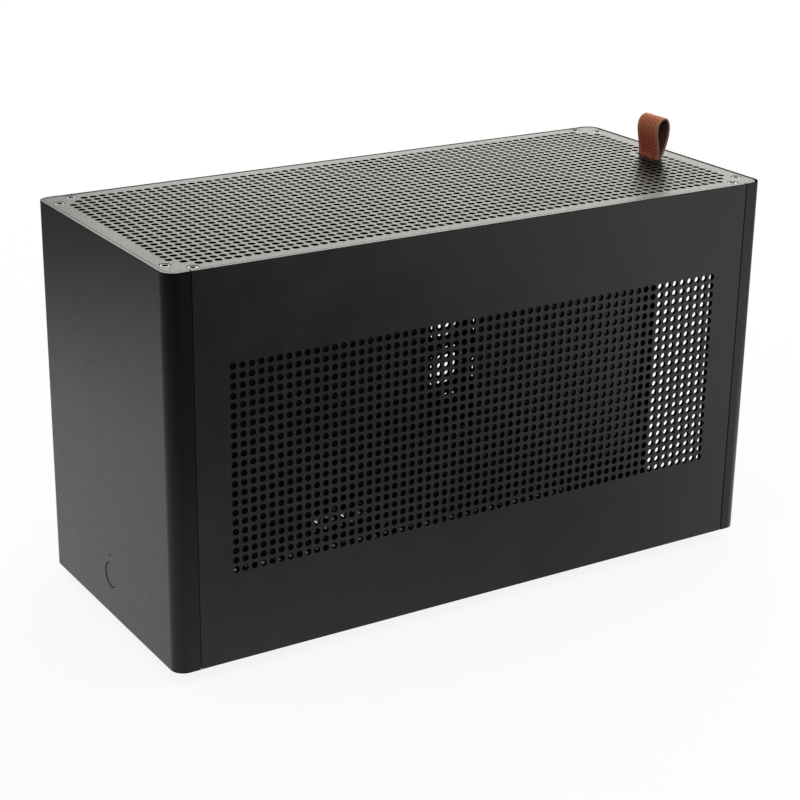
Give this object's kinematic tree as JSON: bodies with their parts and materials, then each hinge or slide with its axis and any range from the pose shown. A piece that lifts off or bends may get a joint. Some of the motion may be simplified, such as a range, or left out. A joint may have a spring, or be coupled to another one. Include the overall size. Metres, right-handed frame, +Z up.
{
  "type": "small computer case",
  "caption": "Slim black mini-ITX computer case with perforated sides and top cover, leather pull tab and round power button",
  "frame": {"origin": "middle of the case's outline on the surface that the feet stand on", "axes": "+X across the case to the board side, +Y from the front to the rear, +Z up"},
  "size_m": [0.14, 0.3224, 0.2122],
  "materials": {
    "black_aluminium": "satin black anodised sheet",
    "black_steel": "fine matt black powder coat",
    "standoff_brass": "machined",
    "screw_steel": "bright zinc plated",
    "socket_plastic": "moulded nylon",
    "brown_leather": "brown full-grain leather with painted edges",
    "black_plastic": "moulded",
    "board_green": "lacquered circuit board",
    "clear_plastic": "clear moulded rod",
    "pin_brass": "nickel-plated brass",
    "foot_rubber": "matt moulded rubber"
  },
  "bodies": {
    "chassis": {"front_shell": "black_aluminium", "rear_shell": "black_aluminium", "bottom_plate": "black_aluminium", "front_frame": "black_steel", "rear_frame": "black_steel", "board_tray": "black_steel", "psu_bracket": "black_steel", "drive_bracket": "black_steel", "slot_covers": "black_steel", "board_standoffs": "standoff_brass", "tray_screws": "screw_steel", "psu_bracket_screws": "screw_steel", "drive_bracket_screws": "screw_steel", "slot_screws": "screw_steel", "cover_sockets": "socket_plastic", "panel_sockets": "socket_plastic", "button_carrier": "black_plastic", "carrier_screws": "screw_steel", "switch_board": "board_green", "tact_switch": "black_plastic", "led_pipe": "clear_plastic", "power_inlet": "black_plastic", "inlet_pins": "pin_brass", "inlet_screws": "screw_steel", "rubber_feet": "foot_rubber", "foot_screws": "screw_steel", "bottom_screws": "screw_steel"},
    "lid": {"top_cover": "black_aluminium", "cover_brackets": "black_steel", "cover_studs": "screw_steel", "cover_screws": "screw_steel", "pull_tab": "brown_leather", "tab_clamp": "black_steel", "tab_rivets": "screw_steel"},
    "right_panel": {"right_side_panel": "black_aluminium", "right_panel_studs": "screw_steel"},
    "left_panel": {"left_side_panel": "black_aluminium", "left_panel_studs": "screw_steel"},
    "power_button": {"button_cap": "black_aluminium"}
  },
  "joints": [
    {"name": "lid_lift", "type": "slide", "parent": "chassis", "child": "lid", "axis": [0, 0, 1], "range_m": [0, 0.04]},
    {"name": "right_panel_pull", "type": "slide", "parent": "chassis", "child": "right_panel", "axis": [1, 0, 0], "range_m": [0, 0.04]},
    {"name": "left_panel_pull", "type": "slide", "parent": "chassis", "child": "left_panel", "axis": [-1, 0, 0], "range_m": [0, 0.04]},
    {"name": "power_button_press", "type": "slide", "parent": "chassis", "child": "power_button", "axis": [0, 1, 0], "range_m": [0, 0.001], "stiffness_N_per_m": 800}
  ]
}
